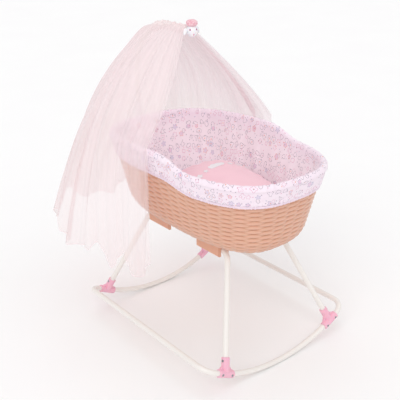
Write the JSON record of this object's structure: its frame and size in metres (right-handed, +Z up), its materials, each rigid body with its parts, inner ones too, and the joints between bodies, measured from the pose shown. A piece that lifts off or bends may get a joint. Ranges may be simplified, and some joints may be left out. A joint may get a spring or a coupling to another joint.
{
  "type": "toy bassinet on rocking stand",
  "caption": "Oval wicker-look doll bassinet with padded liner on a white rocking tube stand, with an overhead pole and a see-through veil.",
  "frame": {"origin": "on the floor, midway between the two rockers and on the basket's long middle plane", "axes": "+X towards the foot end, -X towards the head end with the canopy, +Y across to the far side, +Z up"},
  "size_m": [0.7773, 0.456, 0.7599],
  "materials": {
    "tube_paint": "warm white enamel, gloss",
    "connector_plastic": "baby pink moulded plastic",
    "screw_steel": "zinc plated",
    "basket_plastic": "peach moulded plastic with a wicker weave, satin",
    "liner_fabric": "printed cotton over wadding",
    "elastic_fabric": "gathered elastic edge",
    "mattress_fabric": "foam in a white cotton cover",
    "quilt_fabric": "soft pink jersey, filled",
    "ferrule_plastic": "white moulded plastic",
    "header_fabric": "gathered tulle, peach pink",
    "veil_tulle": "pale pink see-through tulle",
    "sheep_white": "white moulded plastic",
    "sheep_pink": "pink moulded plastic",
    "eye_magenta": "magenta, gloss"
  },
  "bodies": {
    "stand": {"rocker_head": "tube_paint", "rocker_foot": "tube_paint", "side_rail_near": "tube_paint", "side_rail_far": "tube_paint", "leg_frame_near": "tube_paint", "leg_frame_far": "tube_paint", "tee_head_near": "connector_plastic", "tee_head_far": "connector_plastic", "tee_foot_near": "connector_plastic", "tee_foot_far": "connector_plastic", "tee_body_screws": "screw_steel", "tee_stub_screws": "screw_steel"},
    "basket": {"basket_shell": "basket_plastic", "saddle_head_near": "basket_plastic", "saddle_head_far": "basket_plastic", "saddle_foot_near": "basket_plastic", "saddle_foot_far": "basket_plastic", "saddle_screws": "screw_steel", "pole_socket": "basket_plastic", "pole_socket_screws": "screw_steel", "liner": "liner_fabric", "liner_hem_elastic": "elastic_fabric", "mattress": "mattress_fabric", "quilt": "quilt_fabric"},
    "canopy": {"pole_lower": "tube_paint", "pole_ferrule": "ferrule_plastic", "pole_upper": "tube_paint", "veil_header": "header_fabric", "veil": "veil_tulle", "sheep_head": "sheep_white", "sheep_cap": "sheep_pink", "sheep_ears": "sheep_white", "sheep_eyes": "eye_magenta", "sheep_nose": "sheep_pink"}
  },
  "joints": [
    {"name": "basket_lift", "type": "slide", "parent": "stand", "child": "basket", "axis": [0, 0, 1], "range_m": [0, 0.15]},
    {"name": "canopy_lift", "type": "slide", "parent": "basket", "child": "canopy", "axis": [0, 0, 1], "range_m": [0, 0.1]}
  ]
}
